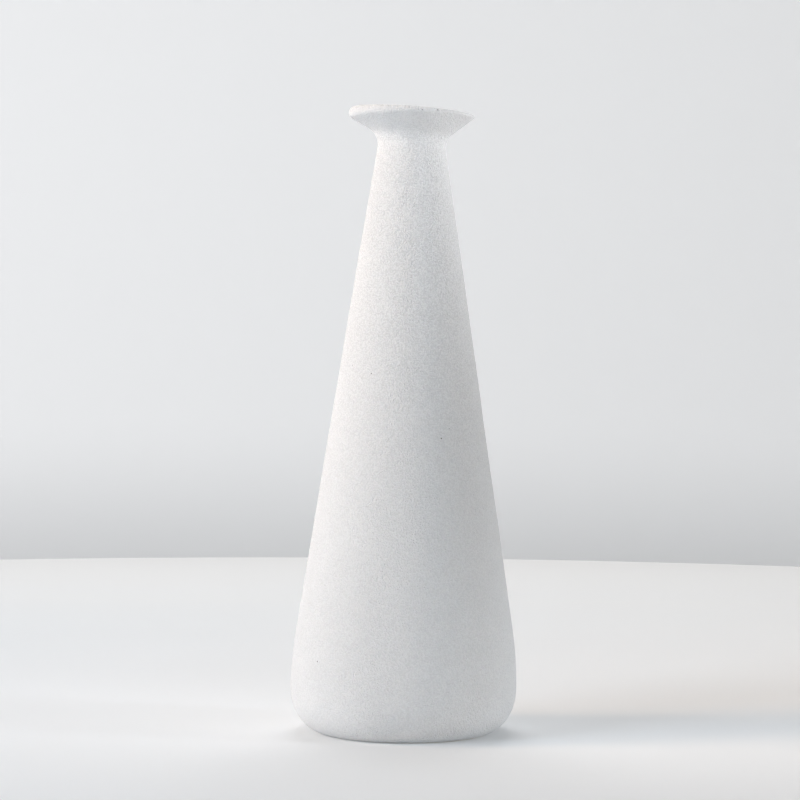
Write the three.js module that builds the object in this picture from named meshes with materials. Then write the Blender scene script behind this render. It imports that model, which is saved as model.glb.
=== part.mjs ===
// Ceramic bud vase: one hollow clay body with a straight tapering neck and a
// flared lip, a sand-textured coat fired onto its outside and a smooth liner
// glaze fired onto its inside. Millimetres, +Z up. The origin is the centre of
// the foot, on the surface that the vase stands on.
//
// Every layer is turned about Z from the same outline. The lip was finished by
// hand, so the outline changes slowly with azimuth: the lip is high and blunt on
// the -X side, low and thin on the +X side, and the whole neck leans a little.
import * as THREE from "three";
import { ParametricGeometry } from "three/addons/geometries/ParametricGeometry.js";

// Belly and cone
const BELLY_RADIUS = 36.1; // at the widest ring
const BELLY_HEIGHT = 14.2; // of the widest ring above the table
const FOOT_RADIUS = 24.7; // where the rounded corner meets the table
const BELLY_ARC = 119; // radius of the long arc above the widest ring
const TAPER = Math.atan(0.1536); // angle of the cone's side from upright
const LEAN = Math.tan(THREE.MathUtils.degToRad(0.3)); // sideways per height

// Neck and lip. Each SWING is half the difference between the -X and +X sides.
const NECK_HEIGHT = 187.4; // of the narrowest ring
const NECK_HEIGHT_SWING = 0.6;
const NECK_FILLET = 5.65; // radius of the hollow under the lip
const FLARE_ANGLE = THREE.MathUtils.degToRad(34.7); // lip's underside, from level
const FLARE_ANGLE_SWING = THREE.MathUtils.degToRad(3);
const LIP_RADIUS = 20.15; // at the rim's outermost point
const RIM_ROUND = 1.4; // radius of the rim's rounded edge
const RIM_ROUND_SWING = 0.6;
const LIP_SLOPE = THREE.MathUtils.degToRad(18); // lip's upper face, from level
const LIP_SLOPE_SWING = THREE.MathUtils.degToRad(6);

// Inside
const WALL = 4.2; // from the finished outside to the finished inside
const FLOOR_HEIGHT = 6; // of the finished inside floor
const THROAT_ROUND = 8; // radius of the shoulder from lip to bore
const FLOOR_CORNER = 12; // radial reach of the corner between wall and floor

// Layers, measured inwards from the finished surface
const SKIN = 0.4; // thickness of the coat and of the liner glaze
const CLAY_INSET = 0.6; // the clay starts here, just clear of the skins
const BARE_FOOT = THREE.MathUtils.degToRad(19); // part of the corner left uncoated
const SEAM = THREE.MathUtils.degToRad(128); // where the coat ends in the throat
const SEAM_GAP = 0.4; // clear width between the coat and the liner glaze

// Underside of the clay
const RECESS_RADIUS = 19.5;
const RECESS_DEPTH = 1.5;
const RECESS_DRAFT = 0.8; // the recess is this much narrower at its ceiling

// Facets
const TURN_STEPS = 48;
const CORNER_STEPS = 6;
const BELLY_STEPS = 4;
const RIM_STEPS = 7;
const THROAT_STEPS = 3; // on each side of the seam

const QUARTER = Math.PI / 2;

// Points along an elliptical arc, clockwise when `to` is below `from`.
function arc(x, y, radiusX, radiusY, from, to, steps) {
  return new THREE.EllipseCurve(x, y, radiusX, radiusY, from, to, to < from)
    .getPoints(steps);
}

// Centres of the three rounds of the lip at one azimuth.
function lipRounds(azimuth) {
  const side = Math.cos(azimuth); // -1 on the high blunt side, 1 on the low thin one
  const flare = FLARE_ANGLE + FLARE_ANGLE_SWING * side;
  const slope = LIP_SLOPE + LIP_SLOPE_SWING * side;

  // The cone's straight side passes through this point at the angle TAPER.
  const coneX = BELLY_RADIUS - BELLY_ARC * (1 - Math.cos(TAPER));
  const coneY = BELLY_HEIGHT + BELLY_ARC * Math.sin(TAPER);
  const coneRadius = (height) => coneX - Math.tan(TAPER) * (height - coneY);

  // The hollow is tangent to the cone below and to the lip's underside above.
  const neckY = NECK_HEIGHT - NECK_HEIGHT_SWING * side;
  const neckX = NECK_FILLET * Math.cos(TAPER)
    + coneRadius(neckY - NECK_FILLET * Math.sin(TAPER));

  // The rim's round sits on the underside's line, out at the lip's radius.
  const round = RIM_ROUND - RIM_ROUND_SWING * side;
  const rimX = LIP_RADIUS - round;
  const underX = neckX - NECK_FILLET * Math.sin(flare);
  const underY = neckY + NECK_FILLET * Math.cos(flare);
  const rimY = underY + Math.tan(flare) * (rimX - underX) + round / Math.cos(flare);

  // The throat's round is tangent to the lip's upper face and to the bore.
  const topAtAxis = rimY + round / Math.cos(slope) - Math.tan(slope) * rimX;
  const boreAtZero = coneX + Math.tan(TAPER) * coneY
    - (WALL - THROAT_ROUND) / Math.cos(TAPER);
  const throatLevel = topAtAxis - THROAT_ROUND / Math.cos(slope);
  const throatX = (boreAtZero - Math.tan(TAPER) * throatLevel)
    / (1 + Math.tan(TAPER) * Math.tan(slope));
  const throatY = throatLevel + Math.tan(slope) * throatX;
  return { flare, slope, neckX, neckY, round, rimX, rimY, throatX, throatY };
}

// The finished surface at one azimuth, moved into the wall by `inset`. It runs up
// the outside and over the rim to the seam, then from the seam down to the axis.
function outline(azimuth, inset) {
  const lip = lipRounds(azimuth);
  const beltX = BELLY_RADIUS - BELLY_ARC;
  const innerRadius = BELLY_RADIUS - WALL + inset;
  const innerDrop = BELLY_HEIGHT - FLOOR_HEIGHT + inset;
  const seamEnd = SEAM + SEAM_GAP / THROAT_ROUND;
  const corner = BELLY_RADIUS - FOOT_RADIUS - inset;
  const hollow = NECK_FILLET + inset;
  const edge = lip.round - inset;
  const throat = THROAT_ROUND - inset;
  const outside = [
    ...arc(FOOT_RADIUS, BELLY_HEIGHT, corner, BELLY_HEIGHT - inset,
      BARE_FOOT - QUARTER, 0, CORNER_STEPS),
    ...arc(beltX, BELLY_HEIGHT, BELLY_ARC - inset, BELLY_ARC - inset,
      0, TAPER, BELLY_STEPS).slice(1),
    ...arc(lip.neckX, lip.neckY, hollow, hollow,
      Math.PI + TAPER, QUARTER + lip.flare, CORNER_STEPS),
    ...arc(lip.rimX, lip.rimY, edge, edge,
      lip.flare - QUARTER, QUARTER + lip.slope, RIM_STEPS),
    ...arc(lip.throatX, lip.throatY, throat, throat,
      QUARTER + lip.slope, SEAM, THROAT_STEPS),
  ];
  const inside = [
    ...arc(lip.throatX, lip.throatY, throat, throat,
      seamEnd, Math.PI + TAPER, THROAT_STEPS),
    ...arc(beltX, BELLY_HEIGHT, innerRadius - beltX, innerRadius - beltX,
      TAPER, 0, BELLY_STEPS),
    ...arc(innerRadius - FLOOR_CORNER, BELLY_HEIGHT, FLOOR_CORNER, innerDrop,
      0, -QUARTER, CORNER_STEPS).slice(1),
    new THREE.Vector2(0, BELLY_HEIGHT - innerDrop),
  ];
  return { outside, inside };
}

// The clay: foot ring and recess below, then the whole outline set in.
function clayProfile(azimuth) {
  const { outside, inside } = outline(azimuth, CLAY_INSET);
  return [
    new THREE.Vector2(0, RECESS_DEPTH),
    new THREE.Vector2(RECESS_RADIUS - RECESS_DRAFT, RECESS_DEPTH),
    new THREE.Vector2(RECESS_RADIUS, 0),
    new THREE.Vector2(FOOT_RADIUS, 0),
    ...outside,
    ...inside,
  ];
}

// A skin on one stretch of the finished surface, closed on itself.
function skinProfile(azimuth, stretch) {
  const face = outline(azimuth, 0)[stretch];
  const back = outline(azimuth, SKIN)[stretch].reverse();
  return [...face, ...back, face[0]];
}

// Carries a profile round Z, leaning it sideways from the widest ring up.
function turned(name, profile, material) {
  const rows = profile(0).length - 1;
  const place = (around, along, target) => {
    const azimuth = 2 * Math.PI * (around % 1);
    const { x: radius, y: height } = profile(azimuth)[Math.round(along * rows)];
    const shift = LEAN * Math.max(height - BELLY_HEIGHT, 0);
    target.set(
      radius * Math.cos(azimuth) + shift,
      radius * Math.sin(azimuth),
      height,
    );
  };
  const geometry = new ParametricGeometry(place, TURN_STEPS, rows);
  geometry.computeVertexNormals();
  const mesh = new THREE.Mesh(geometry, new THREE.MeshStandardMaterial(material));
  mesh.name = name;
  return mesh;
}

const vase = new THREE.Group();
vase.add(
  turned("clay_body", clayProfile, {
    color: 0xd9d2c8,
    roughness: 0.85,
    metalness: 0,
  }),
  turned("sand_coat", (azimuth) => skinProfile(azimuth, "outside"), {
    color: 0xe2e1df,
    roughness: 0.95,
    metalness: 0,
  }),
  turned("liner_glaze", (azimuth) => skinProfile(azimuth, "inside"), {
    color: 0xefede8,
    roughness: 0.12,
    metalness: 0,
  }),
);

export default vase;
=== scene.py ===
"""Fine surfaces, finishes, stage and light for a ceramic bud vase, built round its CAD frame."""

import math
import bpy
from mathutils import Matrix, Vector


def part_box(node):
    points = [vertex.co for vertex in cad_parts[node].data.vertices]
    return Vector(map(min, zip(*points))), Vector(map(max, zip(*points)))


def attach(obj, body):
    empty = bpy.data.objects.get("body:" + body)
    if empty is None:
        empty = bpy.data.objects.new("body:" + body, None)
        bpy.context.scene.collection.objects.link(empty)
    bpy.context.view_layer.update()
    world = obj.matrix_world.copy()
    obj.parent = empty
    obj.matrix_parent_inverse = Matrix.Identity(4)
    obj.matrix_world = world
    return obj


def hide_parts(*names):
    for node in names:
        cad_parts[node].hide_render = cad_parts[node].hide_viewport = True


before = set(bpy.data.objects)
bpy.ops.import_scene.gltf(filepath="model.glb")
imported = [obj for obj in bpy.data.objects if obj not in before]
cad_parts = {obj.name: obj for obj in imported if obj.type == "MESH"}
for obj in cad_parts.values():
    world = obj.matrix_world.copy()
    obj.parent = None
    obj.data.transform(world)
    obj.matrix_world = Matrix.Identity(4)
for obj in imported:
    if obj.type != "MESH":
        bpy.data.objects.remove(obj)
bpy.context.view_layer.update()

from types import SimpleNamespace
from typing import NamedTuple

import bpy
import numpy as np
from bpy.props import FloatProperty, FloatVectorProperty, IntProperty, PointerProperty
from mathutils import Matrix, Vector

COAT_LOW, COAT_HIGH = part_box("sand_coat")

bl_info = {
    "name": "Ceramic bud vase",
    "version": (1, 0, 0),
    "blender": (4, 5, 0),
    "location": "View3D > Sidebar > Bud vase",
    "description": "Builds a sand-coated bud vase with a glazed inside, and its studio",
    "category": "Add Mesh",
}

QUARTER = math.pi / 2


# ---------------------------------------------------------------- settings


def size(name, default, description):
    """A length in metres."""
    return FloatProperty(
        name=name, description=description, default=default, unit="LENGTH", precision=5
    )


def turn(name, degrees, description):
    """An angle, given in degrees and kept in radians."""
    return FloatProperty(
        name=name,
        description=description,
        default=math.radians(degrees),
        subtype="ANGLE",
        unit="ROTATION",
    )


def share(name, default, description):
    """A plain number, mostly from 0 to 1."""
    return FloatProperty(name=name, description=description, default=default)


def colour(name, default, description):
    """A linear RGB colour."""
    return FloatVectorProperty(
        name=name,
        description=description,
        default=default,
        size=3,
        subtype="COLOR",
        min=0.0,
        max=1.0,
    )


class VaseShape(bpy.types.PropertyGroup):
    """The vase's outline. A swing is half the difference between the two sides of the lip."""

    belly_radius: size(
        "Belly radius", (COAT_HIGH.x - COAT_LOW.x) / 2, "Radius of the widest ring"
    )
    belly_height: size("Belly height", 0.0142, "Height of the widest ring")
    foot_radius: size("Foot radius", 0.0247, "Where the rounded corner meets the table")
    foot_swing: size("Foot swing", 0.0002, "Wider on the +X side")
    belly_arc: size("Belly arc", 0.119, "Radius of the long arc over the widest ring")
    taper: turn("Taper", math.degrees(math.atan(0.1536)), "Cone's side, from upright")
    lean: turn("Lean", 0.3, "How far the neck leans towards +X")
    neck_height: size("Neck height", 0.1874, "Height of the narrowest ring")
    neck_height_swing: size("Neck height swing", 0.0006, "Higher on the -X side")
    neck_fillet: size("Neck fillet", 0.00565, "Radius of the hollow under the lip")
    flare: turn("Flare", 35.5, "Slope of the lip's underside, from level")
    flare_swing: turn("Flare swing", 3.2, "Steeper on the +X side")
    flare_fold: turn("Flare fold", 1.5, "Steeper at front and back")
    lip_radius: size("Lip radius", 0.0201, "Radius of the rim's outermost point")
    rim_round: size("Rim round", 0.0012, "Radius of the rim's rounded edge")
    rim_round_swing: size("Rim round swing", 0.00075, "Blunter on the -X side")
    lip_slope: turn("Lip slope", 18.0, "Slope of the lip's upper face, from level")
    lip_slope_swing: turn("Lip slope swing", 6.0, "Steeper on the +X side")
    wall: size("Wall", 0.0042, "From the finished outside to the finished inside")
    floor_height: size("Floor height", 0.006, "Height of the finished inside floor")
    throat_round: size("Throat round", 0.008, "Shoulder between lip and bore")
    floor_corner: size("Floor corner", 0.012, "Reach of the inside corner")
    skin: size("Skin", 0.0004, "Thickness of the coat and of the liner glaze")
    clay_inset: size("Clay inset", 0.0006, "Depth of the clay under the finish")
    bare_foot: turn("Bare foot", 9.0, "Part of the foot's corner left uncoated")
    seam: turn("Seam", 128.0, "Where the coat ends on the throat's shoulder")
    seam_gap: size("Seam gap", 0.0001, "Groove between the coat and the liner glaze")
    recess_radius: size("Recess radius", 0.0195, "Inner edge of the foot ring")
    recess_depth: size("Recess depth", 0.0015, "Depth of the hollow under the foot")


class VaseFinish(bpy.types.PropertyGroup):
    """Colours and textures of the three layers."""

    columns: IntProperty(
        name="Columns", description="Facets round the coat", default=240, min=32
    )
    face_step: size("Face step", 0.00078, "Row spacing on the surfaces that show")
    back_step: size("Back step", 0.006, "Row spacing on the surfaces that are hidden")
    sway: size("Sway", 0.00016, "Height of the slow waves left by the hand")
    dimple: size("Dimple", 0.000025, "Height of the small dimples in the coat")
    coat_colour: colour("Coat", (0.80, 0.80, 0.80), "Sand coat")
    # Painted shade: a darker copy of the coat's colour, laid between the sand grains.
    painted_grain_shade: colour("Coat shade", (0.675, 0.675, 0.675), "Sand coat between its grains")
    cloud: size("Cloud", 0.022, "Width of the coat's faint clouds of tone")
    grain: size("Grain", 0.00042, "Width of a sand grain")
    grain_depth: size("Grain depth", 0.00054, "Relief of the sand grain")
    pinhole: size("Pinhole", 0.0003, "Radius of a pinhole in the coat")
    pinhole_spacing: size("Pinhole spacing", 0.014, "Mean distance between small pinholes")
    # Painted shade: the dark inside of a pinhole.
    pinhole_shade_colour: colour("Pinhole", (0.16, 0.15, 0.14), "Inside of a pinhole")
    clay_colour: colour("Clay", (0.66, 0.61, 0.54), "Bare fired clay")
    clay_light: colour("Light clay", (0.7392, 0.6832, 0.6048), "Bare clay where it is lighter")
    clay_cloud: size("Clay cloud", 0.009, "Width of the clay's lighter clouds")
    tooth: size("Tooth", 0.0003, "Width of the clay's fine tooth")
    tooth_depth: size("Tooth depth", 0.00008, "Relief of the clay's fine tooth")
    grog_colour: colour("Grog", (0.30, 0.25, 0.21), "Dark grog in the clay")
    grog_spacing: size("Grog spacing", 0.0022, "Mean distance between specks of grog")
    liner_colour: colour("Liner", (0.80, 0.79, 0.76), "Liner glaze")
    liner_pool: colour("Liner pool", (0.70, 0.70, 0.68), "Liner glaze where it pools")
    pool: size("Pool", 0.011, "Width of a pool in the liner glaze")
    ripple: size("Ripple", 0.006, "Width of a ripple in the liner glaze")
    ripple_depth: size("Ripple depth", 0.0002, "Relief of the ripples")


class VaseStudio(bpy.types.PropertyGroup):
    """Table, backdrop, lights and camera."""

    table_radius: size("Table radius", 0.70, "Radius of the round table top")
    table_thickness: size("Table thickness", 0.03, "Thickness of the table top")
    backdrop_radius: size("Backdrop radius", 1.45, "Radius of the backdrop's drum")
    backdrop_low: size("Backdrop low edge", -0.7, "Height of its lower edge")
    backdrop_high: size("Backdrop high edge", 1.1, "Height of its upper edge")
    table_colour: colour("Table", (0.74, 0.745, 0.74), "Table top")
    table_glow: colour("Near glow", (0.098, 0.104, 0.111), "Light of the table under the vase")
    table_glow_far: colour("Far glow", (0.275, 0.265, 0.255), "Light of the table's far side")
    backdrop_colour: colour("Backdrop", (0.74, 0.745, 0.74), "Backdrop")
    glow_bright: colour("Bright glow", (0.58, 0.58, 0.59), "Backdrop's bright side")
    glow_dim: colour("Dim glow", (0.084, 0.076, 0.063), "Backdrop's dim side")
    glow_below: share("Glow below", 0.55, "Share of it left under the table's level")
    glow_turn: turn("Glow direction", 158.0, "Azimuth of the backdrop's bright side")
    lens: FloatProperty(
        name="Lens", description="Focal length in millimetres", default=126.15
    )
    camera_distance: size("Camera distance", 0.896, "Level distance to the vase")
    camera_height: size("Camera height", 0.1277, "Height above the table")
    camera_side: size("Camera side", -0.0020, "Sideways place")
    camera_tilt: turn("Camera tilt", 1.365, "Looks down by this much")
    camera_roll: turn("Camera roll", 0.52, "Turned about its own axis")


# ---------------------------------------------------------------- outline

BRUSH_WANDER = math.radians(0.8)
FEWEST_ROWS = 6  # in an arc, however short it is
NECK_ROWS = 12  # across one radian of the hollow under the lip
RIM_ROWS = 5  # across one radian of the rim's edge


def arc(x, y, radius_x, radius_y, start, end, step):
    """Rows of an elliptical arc, a column for each azimuth: the centre plus the radii times
    the cosine and sine of an angle that runs evenly from start to end, a step apart."""
    span = np.max(np.abs(end - start)) * np.max(np.maximum(radius_x, radius_y))
    rows = max(FEWEST_ROWS, 1 + math.ceil(span / step))
    angle = start + (end - start) * np.linspace(0, 1, rows)[:, None]
    return np.stack([x + radius_x * np.cos(angle), y + radius_y * np.sin(angle)], -1)


def bridge(low, high, step):
    """Straight rows between two arcs: an even mix of the last row of one and the first row
    of the next, with both ends left out."""
    reach = high[0] - low[-1]
    rows = 1 + math.ceil(np.max(np.linalg.norm(reach, axis=-1)) / step)
    return low[-1] + reach * np.linspace(0, 1, rows + 1)[1:-1, None, None]


def rim_radius(shape, azimuth):
    """Radius of the rim's edge, blunter on the -X side."""
    return shape.rim_round - shape.rim_round_swing * np.cos(azimuth)


def foot_reach(shape, azimuth):
    """Radius where the rounded corner meets the table, a little wider on the +X side."""
    return shape.foot_radius + shape.foot_swing * np.cos(azimuth)


def lip_rounds(shape, azimuth):
    """Centres of the lip's three rounds. The hollow touches the cone's side and the lip's
    underside, the rim sits on the underside's line at the lip's radius, and the throat's
    shoulder touches the lip's upper face and the bore."""
    side = np.cos(azimuth)
    taper = shape.taper
    flare = shape.flare + shape.flare_swing * side - shape.flare_fold * np.cos(2 * azimuth)
    slope = shape.lip_slope + shape.lip_slope_swing * side
    cone_x = shape.belly_radius - shape.belly_arc * (1 - math.cos(taper))
    cone_y = shape.belly_height + shape.belly_arc * math.sin(taper)

    neck_y = shape.neck_height - shape.neck_height_swing * side
    touch_y = neck_y - shape.neck_fillet * math.sin(taper)
    neck_x = shape.neck_fillet * math.cos(taper) + cone_x - math.tan(taper) * (touch_y - cone_y)

    edge = rim_radius(shape, azimuth)
    rim_x = shape.lip_radius - edge
    under_x = neck_x - shape.neck_fillet * np.sin(flare)
    under_y = neck_y + shape.neck_fillet * np.cos(flare)
    rim_y = under_y + np.tan(flare) * (rim_x - under_x) + edge / np.cos(flare)

    top = rim_y + (edge - shape.throat_round) / np.cos(slope) - np.tan(slope) * rim_x
    bore = cone_x + math.tan(taper) * cone_y
    bore = bore - (shape.wall - shape.throat_round) / math.cos(taper)
    throat_x = (bore - math.tan(taper) * top) / (1 + math.tan(taper) * np.tan(slope))
    throat_y = top + np.tan(slope) * throat_x
    return SimpleNamespace(
        flare=flare,
        slope=slope,
        neck_x=neck_x,
        neck_y=neck_y,
        edge=edge,
        rim_x=rim_x,
        rim_y=rim_y,
        throat_x=throat_x,
        throat_y=throat_y,
    )


def seam_angle(shape, azimuth):
    """Where the coat ends in the throat: a mean angle and three small waves of a brush."""
    brush = np.sin(2 * azimuth + 0.6) + 0.6 * np.sin(5 * azimuth + 2.0)
    return shape.seam + BRUSH_WANDER * (brush + 0.4 * np.sin(9 * azimuth + 4.4))


def outside(shape, azimuth, inset, step):
    """Radius and height up the finished outside, over the rim and down to the seam, set in
    by inset: foot corner, long arc, cone, hollow, underside, rim, upper face, shoulder."""
    lip = lip_rounds(shape, azimuth)
    level = 0 * azimuth
    reach = foot_reach(shape, azimuth)
    corner = shape.belly_radius - reach - inset
    belt = shape.belly_arc - inset
    hollow = shape.neck_fillet + inset
    edge = np.maximum(lip.edge - inset, inset / 8)
    shoulder = shape.throat_round - inset
    foot = arc(
        reach,
        shape.belly_height,
        corner,
        shape.belly_height - inset,
        shape.bare_foot - QUARTER,
        level,
        step,
    )
    belly = arc(
        shape.belly_radius - shape.belly_arc,
        shape.belly_height,
        belt,
        belt,
        level,
        shape.taper,
        step,
    )
    neck = arc(
        lip.neck_x,
        lip.neck_y,
        hollow,
        hollow,
        math.pi + shape.taper,
        QUARTER + lip.flare,
        min(step, hollow / NECK_ROWS),
    )
    rim = arc(
        lip.rim_x,
        lip.rim_y,
        edge,
        edge,
        lip.flare - QUARTER,
        QUARTER + lip.slope,
        min(step, shape.rim_round / RIM_ROWS),
    )
    throat = arc(
        lip.throat_x,
        lip.throat_y,
        shoulder,
        shoulder,
        QUARTER + lip.slope,
        seam_angle(shape, azimuth),
        step,
    )
    return np.concatenate(
        [
            foot,
            belly[1:],
            bridge(belly, neck, step),
            neck,
            bridge(neck, rim, step),
            rim,
            bridge(rim, throat, step),
            throat,
        ]
    )


def inside(shape, azimuth, inset, step):
    """Radius and height from the seam down the finished inside, set in by inset: rest of
    the shoulder, bore, long arc, floor corner and floor, which ends on the axis."""
    lip = lip_rounds(shape, azimuth)
    level = 0 * azimuth
    shoulder = shape.throat_round - inset
    wide = shape.belly_radius - shape.wall + inset
    belt_x = shape.belly_radius - shape.belly_arc
    drop = shape.belly_height - shape.floor_height + inset
    throat = arc(
        lip.throat_x,
        lip.throat_y,
        shoulder,
        shoulder,
        seam_angle(shape, azimuth) + shape.seam_gap / shape.throat_round,
        math.pi + shape.taper,
        step,
    )
    belly = arc(
        belt_x,
        shape.belly_height,
        wide - belt_x,
        wide - belt_x,
        shape.taper,
        level,
        step,
    )
    corner = arc(
        wide - shape.floor_corner,
        shape.belly_height,
        shape.floor_corner,
        drop,
        level,
        -QUARTER,
        step,
    )
    axis = np.stack([level, shape.belly_height - drop + level], -1)[None]
    return np.concatenate(
        [
            throat,
            bridge(throat, belly, step),
            belly,
            corner[1:],
            bridge(corner, axis, step),
            axis,
        ]
    )


# ---------------------------------------------------------------- surfaces

LATTICE = 32  # random values along each side of a field, which then repeats
LONG_WAVE = 0.045  # lengths in metres, as are the next three
SHORT_WAVE = 0.014
RIPPLE_WIDTH = 0.005
DIMPLE_WIDTH = 0.0024
COARSER = 2  # spacing of the liner's rows, and of both inner layers' columns, to the coat's
COARSEST = 3  # spacing of the clay's rows under the finish to the coat's
HIDDEN = 0.05  # share of the texture map that a hidden row gets against one that shows


def lean_shift(shape, height):
    """How far the leaning axis is along +X at that height. It leans from the widest ring up."""
    return math.tan(shape.lean) * np.maximum(height - shape.belly_height, 0)


def carried_round(shape, rows, azimuth):
    """Points of an outline carried round the leaning axis: radius times the cosine and sine
    of the azimuth, and height."""
    radius, height = rows[..., 0], rows[..., 1]
    along = radius * np.cos(azimuth) + lean_shift(shape, height)
    return np.stack([along, radius * np.sin(azimuth), height], -1)


def ring_normals(points):
    """Unit normals of a grid whose columns go round: the step to the next column crossed
    with the step to the next row."""
    across = np.roll(points, -1, axis=1) - np.roll(points, 1, axis=1)
    found = np.cross(across, np.gradient(points, axis=0))
    return found / np.maximum(np.linalg.norm(found, axis=-1, keepdims=True), 1e-12)


def drift(points, cell, seed):
    """A smooth random field from -1 to 1: random values on a cubic lattice of that cell,
    blended between the eight corners round each point by smoothstep weights."""
    lattice = np.random.default_rng(seed).uniform(-1, 1, (LATTICE, LATTICE, LATTICE))
    place = points / cell
    low = np.floor(place).astype(int)
    part = place - low
    part = part * part * (3 - 2 * part)
    total = np.zeros(points.shape[:-1])
    for corner in np.ndindex(2, 2, 2):
        weight = np.where(corner, part, 1 - part).prod(-1)
        x, y, z = np.moveaxis((low + corner) % LATTICE, -1, 0)
        total += weight * lattice[x, y, z]
    return total


def swayed(points, finish):
    """Points moved along their normals by slow waves and weaker short ones."""
    waves = drift(points, LONG_WAVE, 3) + 0.35 * drift(points, SHORT_WAVE, 5)
    return points + ring_normals(points) * (finish.sway * waves)[..., None]


def dimpled(points, finish):
    """Points moved along their normals by dimples over slightly higher, wider ripples."""
    relief = drift(points, DIMPLE_WIDTH, 11) + 1.2 * drift(points, RIPPLE_WIDTH, 13)
    return points + ring_normals(points) * (finish.dimple * relief)[..., None]


def unrolled(points, weights):
    """Height of each row in the texture map: the distance run along the outline, each step
    times its weight, from 0 at the first row to 1 at the last."""
    steps = np.linalg.norm(np.diff(points, axis=0), axis=-1).mean(1) * weights
    run = np.concatenate([[0], np.cumsum(steps)])
    return run / run[-1]


def grid_mesh(name, points, rows_up, joined):
    """A closed mesh from rows by columns of points. Columns wrap round. A joined grid also
    wraps from its last row to its first; any other has its first and last rows on the
    axis, and each of them becomes one point with a fan of triangles."""
    rows, columns = points.shape[:2]
    start = 0 if joined else 1
    body = points[start : rows - start]
    count = body.shape[0]
    index = np.arange(count * columns).reshape(count, columns)
    right = np.roll(index, -1, axis=1)
    left_u = np.broadcast_to(np.arange(columns) / columns, index.shape)
    right_u = left_u + 1 / columns
    low_v = np.broadcast_to(rows_up[start : start + count, None], index.shape)
    last = count if joined else count - 1
    above = np.roll(index, -1, axis=0)[:last]
    above_right = np.roll(right, -1, axis=0)[:last]
    high_v = np.broadcast_to(rows_up[start + 1 : start + 1 + last, None], above.shape)
    quads = np.stack([index[:last], right[:last], above_right, above], -1)
    quad_uv = np.stack(
        [
            np.stack([left_u[:last], low_v[:last]], -1),
            np.stack([right_u[:last], low_v[:last]], -1),
            np.stack([right_u[:last], high_v], -1),
            np.stack([left_u[:last], high_v], -1),
        ],
        -2,
    )
    vertices = body.reshape(-1, 3)
    faces = quads.reshape(-1, 4).tolist()
    uv = [quad_uv.reshape(-1, 2)]
    if not joined:
        low_pole, high_pole = len(vertices), len(vertices) + 1
        vertices = np.concatenate([vertices, points[0, :1], points[-1, :1]])
        pole = np.full(columns, low_pole)
        faces += np.stack([pole, right[0], index[0]], -1).tolist()
        faces += np.stack([index[-1], right[-1], pole + 1], -1).tolist()
        middle = (left_u[0] + right_u[0]) / 2
        ends = ((rows_up[0], rows_up[1]), (rows_up[-1], rows_up[-2]))
        low_fan = [(middle, ends[0][0]), (right_u[0], ends[0][1]), (left_u[0], ends[0][1])]
        high_fan = [(left_u[0], ends[1][1]), (right_u[0], ends[1][1]), (middle, ends[1][0])]
        for fan in (low_fan, high_fan):
            corners = [np.stack([u, np.full(columns, v)], -1) for u, v in fan]
            uv.append(np.stack(corners, 1).reshape(-1, 2))
    mesh = bpy.data.meshes.new(name)
    mesh.from_pydata(vertices.tolist(), [], faces)
    layer = mesh.uv_layers.new(name="OFBake")
    layer.uv.foreach_set("vector", np.concatenate(uv).astype(np.float32).ravel())
    mesh.shade_smooth()
    mesh.update()
    return mesh


def azimuths(columns):
    """Even azimuths that start at the back, so that the texture map's edge is there."""
    return QUARTER + 2 * math.pi * np.arange(columns) / columns


def coat_points(shape, finish):
    """The coat's face, from the foot up and over into the throat, and its back, which
    returns a skin's thickness further in. The face's two end rows are set in a little,
    so that its edges are soft."""
    azimuth = azimuths(finish.columns)
    face = outside(shape, azimuth, 0.0, finish.face_step)
    soft = outside(shape, azimuth, shape.skin / 2, finish.face_step)
    face = np.concatenate([soft[:1], face[1:-1], soft[-1:]])
    back = outside(shape, azimuth, shape.skin, finish.back_step)[::-1]
    face = dimpled(swayed(carried_round(shape, face, azimuth), finish), finish)
    back = swayed(carried_round(shape, back, azimuth)[::-1], finish)[::-1]
    return face, back


def liner_points(shape, finish):
    """The liner's back, from the axis out and up to the seam, and its face, back down."""
    azimuth = azimuths(finish.columns // COARSER)
    step = COARSER * finish.face_step
    face = inside(shape, azimuth, 0.0, step)
    soft = inside(shape, azimuth, shape.skin / 2, step)
    face = np.concatenate([soft[:1], face[1:]])
    back = inside(shape, azimuth, shape.skin, finish.back_step)[::-1]
    face = swayed(carried_round(shape, face, azimuth), finish)
    back = carried_round(shape, back, azimuth)
    return back, face


def clay_points(shape, finish):
    """The clay, from the middle of the recess out to the foot ring, up the outside, over
    the rim and down the inside to the axis. The ring's edges are rounded."""
    azimuth = azimuths(finish.columns // COARSER)
    level = 0 * azimuth
    soft = shape.recess_depth / 3
    ceiling = arc(
        shape.recess_radius - 2 * soft,
        shape.recess_depth - 2 * soft,
        2 * soft,
        2 * soft,
        QUARTER,
        level,
        soft / 2,
    )
    ring = arc(
        shape.recess_radius + soft,
        soft,
        soft,
        soft,
        math.pi + level,
        3 * QUARTER,
        soft / 2,
    )
    reach = foot_reach(shape, azimuth)
    heel = arc(
        reach,
        shape.belly_height,
        shape.belly_radius - reach - shape.clay_inset,
        shape.belly_height,
        level - QUARTER,
        shape.bare_foot - QUARTER,
        finish.face_step,
    )
    axis = np.stack([level, shape.recess_depth + level], -1)[None]
    outer = outside(shape, azimuth, shape.clay_inset, COARSEST * finish.face_step)
    inner = inside(shape, azimuth, shape.clay_inset, COARSEST * finish.face_step)
    rows = np.concatenate(
        [
            axis,
            bridge(axis, ceiling, finish.face_step),
            ceiling,
            bridge(ceiling, ring, finish.face_step),
            ring,
            bridge(ring, heel, finish.face_step),
            heel,
            outer[1:],
            inner,
        ]
    )
    return carried_round(shape, rows, azimuth)


# ---------------------------------------------------------------- finishes


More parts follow.
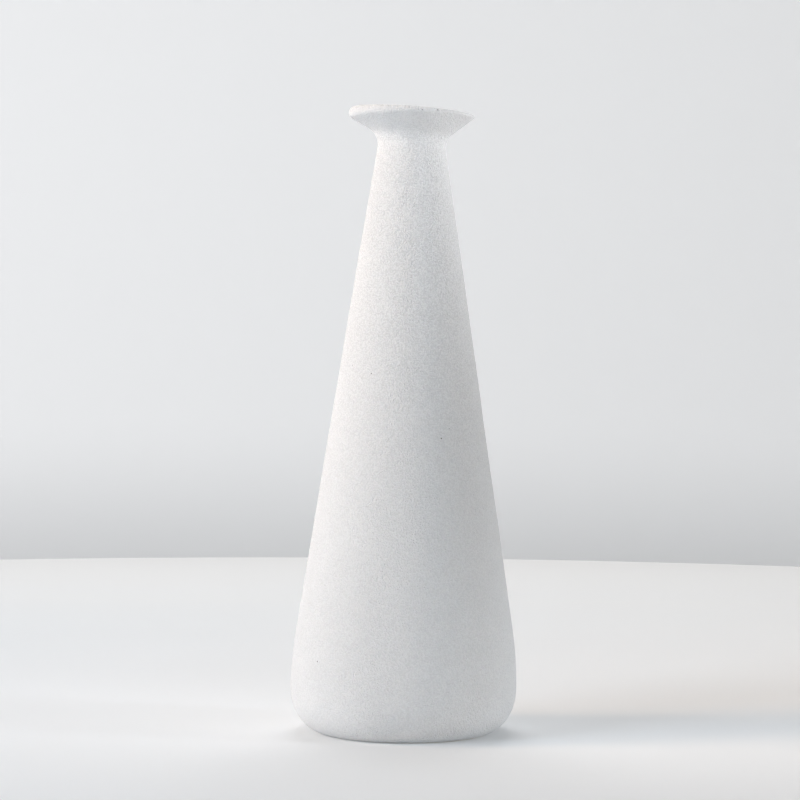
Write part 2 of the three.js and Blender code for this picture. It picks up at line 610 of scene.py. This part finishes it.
class Shade:
    """A value that varies over a surface. Arithmetic on it adds Math nodes."""

    def __init__(self, finish, socket):
        self.finish = finish
        self.socket = socket

    def joined(self, operation, first, second):
        settings = {"operation": operation}
        return self.finish.node("ShaderNodeMath", settings, {0: first, 1: second})

    def __add__(self, other):
        return self.joined("ADD", self, other)

    def __radd__(self, other):
        return self.joined("ADD", other, self)

    def __sub__(self, other):
        return self.joined("SUBTRACT", self, other)

    def __rsub__(self, other):
        return self.joined("SUBTRACT", other, self)

    def __mul__(self, other):
        return self.joined("MULTIPLY", self, other)

    def __rmul__(self, other):
        return self.joined("MULTIPLY", other, self)


class Finish:
    """A material: a tree of nodes that ends in one Principled shader."""

    # A Mix node has a set of sockets for each data type; these are the colours'.
    MIX_FACTOR = 0
    MIX_A = 6
    MIX_B = 7
    MIX_RESULT = 2

    def __init__(self, name):
        self.material = bpy.data.materials.new(name)
        self.material.use_nodes = True
        self.tree = self.material.node_tree
        self.shader = self.tree.nodes["Principled BSDF"]

    def put(self, socket, value):
        """Links a Shade to a socket, or sets the socket's own value."""
        if isinstance(value, Shade):
            self.tree.links.new(value.socket, socket)
        else:
            socket.default_value = value

    def node(self, kind, settings=None, sockets=None, output=0):
        """Adds a node, with its settings before its sockets, and returns one output."""
        made = self.tree.nodes.new(kind)
        for key, value in (settings or {}).items():
            setattr(made, key, value)
        for key, value in (sockets or {}).items():
            self.put(made.inputs[key], value)
        return Shade(self, made.outputs[output])

    def place(self):
        """The surface's own coordinates, in metres."""
        return self.node("ShaderNodeTexCoord", output="Object")

    def noise(self, width, detail=2.0, roughness=0.5):
        """Soft noise from 0 to 1 whose blots have that width."""
        sockets = {
            "Vector": self.place(),
            "Scale": 1 / width,
            "Detail": detail,
            "Roughness": roughness,
        }
        return self.node("ShaderNodeTexNoise", sockets=sockets)

    def cells(self, width):
        """Distance to the nearest of random points about a width apart, in such widths."""
        settings = {"feature": "F1"}
        sockets = {"Vector": self.place(), "Scale": 1 / width}
        return self.node("ShaderNodeTexVoronoi", settings, sockets, "Distance")

    def level(self, axis):
        """One of those coordinates, named X, Y or Z."""
        return self.node("ShaderNodeSeparateXYZ", sockets={0: self.place()}, output=axis)

    def compared(self, operation, point):
        """A number from those coordinates and one fixed vector, by Vector Math."""
        settings = {"operation": operation}
        sockets = {0: self.place(), 1: tuple(point)}
        return self.node("ShaderNodeVectorMath", settings, sockets, "Value")

    def eased(self, value, low, high):
        """0 below low, 1 above high and a smooth step between."""
        settings = {"interpolation_type": "SMOOTHSTEP"}
        sockets = {"Value": value, "From Min": low, "From Max": high}
        return self.node("ShaderNodeMapRange", settings, sockets)

    def blend(self, factor, first, second):
        """A colour that goes from first to second as the factor goes from 0 to 1."""
        ends = [end if isinstance(end, Shade) else (*end, 1.0) for end in (first, second)]
        sockets = {self.MIX_FACTOR: factor, self.MIX_A: ends[0], self.MIX_B: ends[1]}
        return self.node("ShaderNodeMix", {"data_type": "RGBA"}, sockets, self.MIX_RESULT)

    def bumped(self, height, depth):
        """A normal from a height of 0 to 1 that stands for that depth."""
        sockets = {"Strength": 1.0, "Distance": depth, "Height": height}
        return self.node("ShaderNodeBump", sockets=sockets)

    def shade(self, **sockets):
        """Sets the shader's sockets, named with _ for a space."""
        for key, value in sockets.items():
            if isinstance(value, tuple):
                value = (*value, 1.0)
            self.put(self.shader.inputs[key.replace("_", " ")], value)
        return self.material


# Pinholes on the coat's front, given to half a millimetre: height, place along X,
# and width against the rest.
PINHOLES = (
    (0.1150, -0.0110, 0.8),
    (0.0950, 0.0110, 0.95),
    (0.0250, -0.0270, 1.0),
    (0.1175, -0.0170, 0.6),
    (0.0980, 0.0135, 0.6),
)

# Pinholes on the rim's edge: azimuth and angle over level in degrees, and width.
RIM_PINHOLES = (
    (-66.5, 8.0, 1.0),
    (-81.0, -8.0, 0.8),
    (-84.5, -4.0, 0.6),
)

PROBE_STEP = 0.0005  # spacing of the rows where a pinhole's place is looked up
GRAIN_RISE = (0.05, 0.16)  # heights between which the painted shade between the grains gains its full strength
LIP_GRAIN_FADE = (0.188, 0.197)  # heights between which it loses most of that again
TABLE_FAR = (0.05, 0.6)  # along Y, between which the table's glow turns to the far one
GLOW_RISE = (-0.10, 0.06)  # heights between which the backdrop gains its full glow


def rim_point(shape, azimuth, above):
    """The point of the rim's round edge at that azimuth and that angle over level."""
    column = np.array([math.radians(azimuth)])
    above = math.radians(above)
    lip = lip_rounds(shape, column)
    radius = lip.rim_x + lip.edge * math.cos(above)
    height = lip.rim_y + lip.edge * math.sin(above)
    return carried_round(shape, np.stack([radius, height], -1)[None], column)[0, 0]


def front_point(shape, height, along):
    """The point of the outside's -Y side at that height and that place along X. Its radius
    comes from the outline's own rows, and its azimuth from that radius."""
    rows = outside(shape, np.array([-QUARTER]), 0.0, PROBE_STEP)[:, 0]
    below_rim = rows[: np.argmax(rows[:, 1])]
    radius = np.interp(height, below_rim[:, 1], below_rim[:, 0])
    azimuth = -math.acos((along - lean_shift(shape, height)) / radius)
    return carried_round(shape, np.array([radius, height]), azimuth)


def pinhole_mask(made, shape, finish):
    """1 in a pinhole, where painted shade fills it, and 0 outside: scattered small ones, and the
    ones that have a place.
    """
    radius = finish.pinhole
    nearest = made.cells(finish.pinhole_spacing) * finish.pinhole_spacing
    mask = 1 - made.eased(nearest, radius * 0.4, radius * 0.8)
    marks = [(front_point(shape, *mark[:2]), mark[2]) for mark in PINHOLES]
    marks += [(rim_point(shape, *mark[:2]), mark[2]) for mark in RIM_PINHOLES]
    for centre, width in marks:
        away = made.compared("DISTANCE", centre)
        mask = mask + (1 - made.eased(away, radius * width * 0.5, radius * width))
    return made.eased(mask, 0.0, 1.0)


def grain_shade_strength(made):
    """How strongly the painted shade between the grains shows: by half low down, in full at
    the neck and by less than half on the lip."""
    height = made.level("Z")
    upwards = 0.5 + 0.5 * made.eased(height, *GRAIN_RISE)
    return upwards - 0.55 * made.eased(height, *LIP_GRAIN_FADE)


def sand_coat_finish(shape, finish):
    """Matte off-white with a packed sand grain and painted shade between its grains, faint clouds
    of tone and a few pinholes filled with painted shade.
    """
    made = Finish("sand_coat")
    gap = 0.4 * made.noise(finish.grain, 1.0) + 0.6 * made.cells(finish.grain * 1.15)
    clouds = made.noise(finish.cloud, 3.0)
    hollow = pinhole_mask(made, shape, finish)
    # Painted shade between the sand grains: the coat turns to its darker copy in the gaps, more
    # strongly up the neck.
    grog_speck_and_grain_shade = made.eased(gap + 0.06 * (clouds - 0.5), 0.35, 0.65)
    grog_speck_and_grain_shade = 0.5 + (grog_speck_and_grain_shade - 0.5) * grain_shade_strength(made)
    tone = made.blend(grog_speck_and_grain_shade, tuple(finish.coat_colour), tuple(finish.painted_grain_shade))
    return made.shade(
        # Painted shade inside the pinholes.
        Base_Color=made.blend(hollow, tone, tuple(finish.pinhole_shade_colour)),
        Roughness=0.86 + 0.1 * gap,
        Diffuse_Roughness=0.6,
        IOR=1.45,
        Normal=made.bumped(1 - gap - 0.5 * hollow, finish.grain_depth),
    )


def liner_glaze_finish(finish):
    """Glossy off-white glaze that pools a little greyer, with a slow ripple."""
    made = Finish("liner_glaze")
    pool = made.eased(made.noise(finish.pool, 3.0), 0.4, 0.65)
    ripple = made.noise(finish.ripple, 1.0)
    return made.shade(
        Base_Color=made.blend(pool, tuple(finish.liner_colour), tuple(finish.liner_pool)),
        Roughness=0.10 + 0.08 * pool,
        IOR=1.5,
        Normal=made.bumped(ripple, finish.ripple_depth),
    )


def bare_clay_finish(finish):
    """Dry fired clay with dark grog specks and a fine tooth."""
    made = Finish("bare_clay")
    tooth = made.noise(finish.tooth, 3.0, 0.65)
    grog_speck_and_grain_shade = 1 - made.eased(made.cells(finish.grog_spacing), 0.12, 0.2)
    clouds = made.noise(finish.clay_cloud, 2.0)
    tone = made.blend(clouds, tuple(finish.clay_colour), tuple(finish.clay_light))
    return made.shade(
        Base_Color=made.blend(grog_speck_and_grain_shade, tone, tuple(finish.grog_colour)),
        Roughness=0.82 + 0.12 * tooth,
        Diffuse_Roughness=0.5,
        IOR=1.45,
        Normal=made.bumped(tooth, finish.tooth_depth),
    )


def table_finish(studio):
    """A matte light table with the faintest tooth. It glows more towards its far side."""
    made = Finish("table")
    tooth = made.noise(0.004, 2.0)
    far = made.eased(made.level("Y"), *TABLE_FAR)
    return made.shade(
        Base_Color=tuple(studio.table_colour),
        Roughness=0.7 + 0.04 * tooth,
        Diffuse_Roughness=0.5,
        Specular_IOR_Level=0.2,
        Emission_Color=made.blend(far, tuple(studio.table_glow), tuple(studio.table_glow_far)),
        Emission_Strength=1.0,
    )


def backdrop_finish(studio):
    """A matte light tent: its glow goes from dim to bright along one level direction, and
    fades towards the table's level."""
    made = Finish("backdrop")
    toward = (math.cos(studio.glow_turn), math.sin(studio.glow_turn), 0.0)
    along = 0.5 + made.compared("DOT_PRODUCT", toward) * (0.5 / studio.backdrop_radius)
    above = made.eased(made.level("Z"), *GLOW_RISE)
    glow = made.blend(along, tuple(studio.glow_dim), tuple(studio.glow_bright))
    kept = studio.glow_below + (1 - studio.glow_below) * above
    return made.shade(
        Base_Color=tuple(studio.backdrop_colour),
        Roughness=0.9,
        Specular_IOR_Level=0.2,
        Emission_Color=made.blend(kept, (0.0, 0.0, 0.0), glow),
        Emission_Strength=1.0,
    )


# ---------------------------------------------------------------- pieces


def add_piece(name, mesh, material, node):
    """Links a finished surface to the scene in place of a CAD node."""
    mesh.materials.append(material)
    piece = bpy.data.objects.new(name, mesh)
    bpy.context.scene.collection.objects.link(piece)
    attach(piece, "root")
    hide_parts(node)


class VASE_OT_sand_coat(bpy.types.Operator):
    """Builds the sand coat over the outside, the rim and the top of the throat"""

    bl_idname = "vase.sand_coat"
    bl_label = "Sand coat"

    def execute(self, context):
        shape, finish = context.scene.vase_shape, context.scene.vase_finish
        face, back = coat_points(shape, finish)
        points = np.concatenate([face, back])
        weights = np.ones(len(points))
        weights[len(face) :] = HIDDEN
        ring = np.concatenate([points, points[:1]])
        mesh = grid_mesh("sand_coat_skin", points, unrolled(ring, weights), joined=True)
        material = sand_coat_finish(shape, finish)
        add_piece("sand_coat_skin", mesh, material, "sand_coat")
        return {"FINISHED"}


class VASE_OT_liner_glaze(bpy.types.Operator):
    """Builds the liner glaze in the throat, the bore and the belly"""

    bl_idname = "vase.liner_glaze"
    bl_label = "Liner glaze"

    def execute(self, context):
        shape, finish = context.scene.vase_shape, context.scene.vase_finish
        back, face = liner_points(shape, finish)
        points = np.concatenate([back, face])
        weights = np.ones(len(points) - 1)
        weights[: len(back)] = HIDDEN
        mesh = grid_mesh("liner_glaze_skin", points, unrolled(points, weights), joined=False)
        material = liner_glaze_finish(finish)
        add_piece("liner_glaze_skin", mesh, material, "liner_glaze")
        return {"FINISHED"}


class VASE_OT_clay_body(bpy.types.Operator):
    """Builds the clay wall, which shows at the foot"""

    bl_idname = "vase.clay_body"
    bl_label = "Clay body"

    def execute(self, context):
        shape, finish = context.scene.vase_shape, context.scene.vase_finish
        points = clay_points(shape, finish)
        weights = np.ones(len(points) - 1)
        mesh = grid_mesh("clay_wall", points, unrolled(points, weights), joined=False)
        material = bare_clay_finish(finish)
        add_piece("clay_wall", mesh, material, "clay_body")
        return {"FINISHED"}


# ---------------------------------------------------------------- studio

TABLE_COLUMNS = 256
DRUM_COLUMNS = 128


def lathe_mesh(name, profile, columns):
    """A surface carried round the axis from a few radius and height pairs, open at its
    ends: radius times the cosine and sine of the azimuth, and height."""
    azimuth = 2 * math.pi * np.arange(columns) / columns
    radius, height = np.array(profile).T[:, :, None]
    points = np.stack(
        [radius * np.cos(azimuth), radius * np.sin(azimuth), height + 0 * azimuth], -1
    )
    index = np.arange(points.shape[0] * columns).reshape(-1, columns)
    right = np.roll(index, -1, axis=1)
    quads = np.stack([index[:-1], right[:-1], right[1:], index[1:]], -1)
    mesh = bpy.data.meshes.new(name)
    mesh.from_pydata(points.reshape(-1, 3).tolist(), [], quads.reshape(-1, 4).tolist())
    mesh.shade_smooth()
    return mesh


def add_stage(name, mesh, material):
    """Links a surface of the studio, which isn't part of the vase."""
    mesh.materials.append(material)
    made = bpy.data.objects.new(name, mesh)
    bpy.context.scene.collection.objects.link(made)


class Lamp(NamedTuple):
    """A soft light. Its azimuth is counted from +X and its elevation from level, both in
    degrees, from the point on the vase's axis that it faces, at the height aim. With a
    cone of 0 it is a square panel of that width. With any other it is a spot whose source
    has that radius, and whose beam has that angle and a soft edge."""

    name: str
    azimuth: float
    elevation: float
    reach: float
    aim: float
    width: float
    cone: float
    watts: float
    tone: tuple


LAMPS = (
    Lamp("key", 190, 25, 1.10, 0.200, 0.25, 26, 63.0, (1.00, 0.76, 0.57)),
    Lamp("front fill", 215, 12, 1.15, 0.100, 0.60, 0, 7.4, (0.80, 0.89, 1.00)),
    Lamp("top light", 90, 65, 1.15, 0.100, 0.60, 0, 7.2, (0.98, 0.98, 1.00)),
    Lamp("lip light", 0, 5, 1.10, 0.195, 0.08, 10, 44.0, (0.95, 0.96, 1.00)),
    Lamp("lip fill", 315, 11, 1.10, 0.205, 0.08, 10, 22.5, (0.98, 0.98, 1.00)),
    Lamp("foot light", 345, 8, 1.10, 0.005, 0.08, 8, 43.0, (0.91, 0.95, 1.00)),
)


def add_lamp(lamp):
    """Adds a light that faces its point on the vase's axis."""
    data = bpy.data.lights.new(lamp.name, "SPOT" if lamp.cone else "AREA")
    data.energy = lamp.watts
    data.color = lamp.tone
    if lamp.cone:
        data.spot_size = math.radians(lamp.cone)
        data.spot_blend = 1.0
        data.shadow_soft_size = lamp.width
    else:
        data.size = lamp.width
    azimuth, elevation = math.radians(lamp.azimuth), math.radians(lamp.elevation)
    level = math.cos(elevation)
    back = Vector((level * math.cos(azimuth), level * math.sin(azimuth), math.sin(elevation)))
    made = bpy.data.objects.new(lamp.name, data)
    made.location = Vector((0, 0, lamp.aim)) + lamp.reach * back
    made.rotation_euler = back.to_track_quat("Z", "Y").to_euler()
    made.visible_camera = False
    bpy.context.scene.collection.objects.link(made)


def add_camera(studio):
    """Adds the camera: level with +Y, tilted down, then rolled about its own axis."""
    data = bpy.data.cameras.new("camera")
    data.lens = studio.lens
    data.clip_start = 0.01
    data.clip_end = 20.0
    made = bpy.data.objects.new("camera", data)
    place = (studio.camera_side, -studio.camera_distance, studio.camera_height)
    made.matrix_world = (
        Matrix.Translation(place)
        @ Matrix.Rotation(QUARTER - studio.camera_tilt, 4, "X")
        @ Matrix.Rotation(studio.camera_roll, 4, "Z")
    )
    bpy.context.scene.collection.objects.link(made)
    bpy.context.scene.camera = made


class VASE_OT_studio(bpy.types.Operator):
    """Builds the table, the backdrop, the lights and the camera"""

    bl_idname = "vase.studio"
    bl_label = "Studio"

    def execute(self, context):
        studio = context.scene.vase_studio
        radius, thickness = studio.table_radius, studio.table_thickness
        soft = thickness / 6
        table = [(0.0, -thickness), (radius, -thickness), (radius, -soft)]
        table += [(radius - soft, 0.0), (0.0, 0.0)]
        drum = [
            (studio.backdrop_radius, studio.backdrop_high),
            (studio.backdrop_radius, studio.backdrop_low),
        ]
        add_stage("table", lathe_mesh("table", table, TABLE_COLUMNS), table_finish(studio))
        add_stage("backdrop", lathe_mesh("backdrop", drum, DRUM_COLUMNS), backdrop_finish(studio))
        for lamp in LAMPS:
            add_lamp(lamp)
        context.scene.view_settings.view_transform = "Standard"
        add_camera(studio)
        return {"FINISHED"}


# ---------------------------------------------------------------- sidebar

BUILDERS = (VASE_OT_studio, VASE_OT_sand_coat, VASE_OT_liner_glaze, VASE_OT_clay_body)
GROUPS = {"vase_shape": VaseShape, "vase_finish": VaseFinish, "vase_studio": VaseStudio}


class VASE_PT_sidebar(bpy.types.Panel):
    """Lists the vase's builders and settings"""

    bl_label = "Bud vase"
    bl_idname = "VASE_PT_sidebar"
    bl_space_type = "VIEW_3D"
    bl_region_type = "UI"
    bl_category = "Bud vase"

    def draw(self, context):
        for builder in BUILDERS:
            self.layout.operator(builder.bl_idname)
        for group in GROUPS:
            settings = getattr(context.scene, group)
            for key in settings.bl_rna.properties.keys():
                if key not in ("rna_type", "name"):
                    self.layout.prop(settings, key)


CLASSES = (*GROUPS.values(), *BUILDERS, VASE_PT_sidebar)


def register():
    """Adds the classes, and the settings to every scene."""
    for cls in CLASSES:
        bpy.utils.register_class(cls)
    for name, group in GROUPS.items():
        setattr(bpy.types.Scene, name, PointerProperty(type=group))


def unregister():
    """Takes the settings and the classes away."""
    for name in GROUPS:
        delattr(bpy.types.Scene, name)
    for cls in reversed(CLASSES):
        bpy.utils.unregister_class(cls)


def main():
    """Builds the studio and the pieces."""
    register()
    bpy.ops.vase.studio()
    bpy.ops.vase.sand_coat()
    bpy.ops.vase.liner_glaze()
    bpy.ops.vase.clay_body()


if __name__ == "__main__":
    main()
